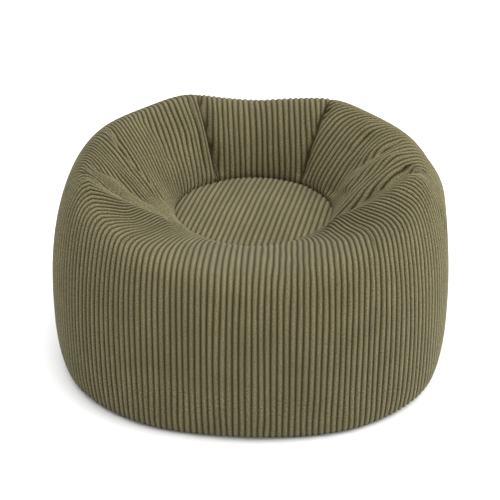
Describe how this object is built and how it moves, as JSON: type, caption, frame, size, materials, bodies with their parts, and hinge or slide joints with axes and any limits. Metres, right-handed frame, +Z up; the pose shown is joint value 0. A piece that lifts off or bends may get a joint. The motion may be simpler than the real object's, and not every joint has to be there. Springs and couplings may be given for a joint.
{
  "type": "bean bag chair",
  "caption": "Tub-shaped bean bag chair in wide-wale corduroy with a round seat, high back and low front, a zipped inner liner and bead filling.",
  "frame": {"origin": "middle of the underside, on the floor", "axes": "+Z up, the low front of the chair faces -Y, its high back is at +Y, and +X is to the right when the chair is seen from its front"},
  "size_m": [0.86, 0.8549, 0.4372],
  "materials": {
    "corduroy": "wide-wale cotton corduroy, brushed pile",
    "base_cloth": "plain woven polyester canvas",
    "zip_tape": "woven polyester tape",
    "zip_coil": "nylon monofilament coil",
    "zip_metal": "enamelled zinc die casting",
    "liner_cloth": "plain woven polyester, downproof",
    "liner_zip": "moulded nylon",
    "beads": "expanded polystyrene beads"
  },
  "bodies": {
    "chair": {"cover_panel_front": "corduroy", "cover_panel_front_right": "corduroy", "cover_panel_back_right": "corduroy", "cover_panel_back": "corduroy", "cover_panel_back_left": "corduroy", "cover_panel_front_left": "corduroy", "cover_seat_panel": "corduroy", "cover_base_panel": "base_cloth", "zip_tape_upper": "zip_tape", "zip_tape_lower": "zip_tape", "zip_coil_upper": "zip_coil", "zip_coil_lower": "zip_coil", "zip_stop_left": "zip_metal", "zip_stop_right": "zip_metal", "liner_wall": "liner_cloth", "liner_top": "liner_cloth", "liner_base": "liner_cloth", "liner_zip_tape_front": "liner_cloth", "liner_zip_tape_back": "liner_cloth", "liner_zip_coil_front": "liner_zip", "liner_zip_coil_back": "liner_zip", "liner_zip_stop_left": "liner_zip", "liner_zip_stop_right": "liner_zip", "bead_fill": "beads"},
    "cover_zip_slider": {"zip_slider": "zip_metal"},
    "inner_zip_slider": {"liner_zip_slider": "liner_zip"}
  },
  "joints": [
    {"name": "cover_zip", "type": "slide", "parent": "chair", "child": "cover_zip_slider", "axis": [-1, 0, 0], "range_m": [0, 0.246]},
    {"name": "liner_zip", "type": "slide", "parent": "chair", "child": "inner_zip_slider", "axis": [-1, 0, 0], "range_m": [0, 0.25]}
  ]
}
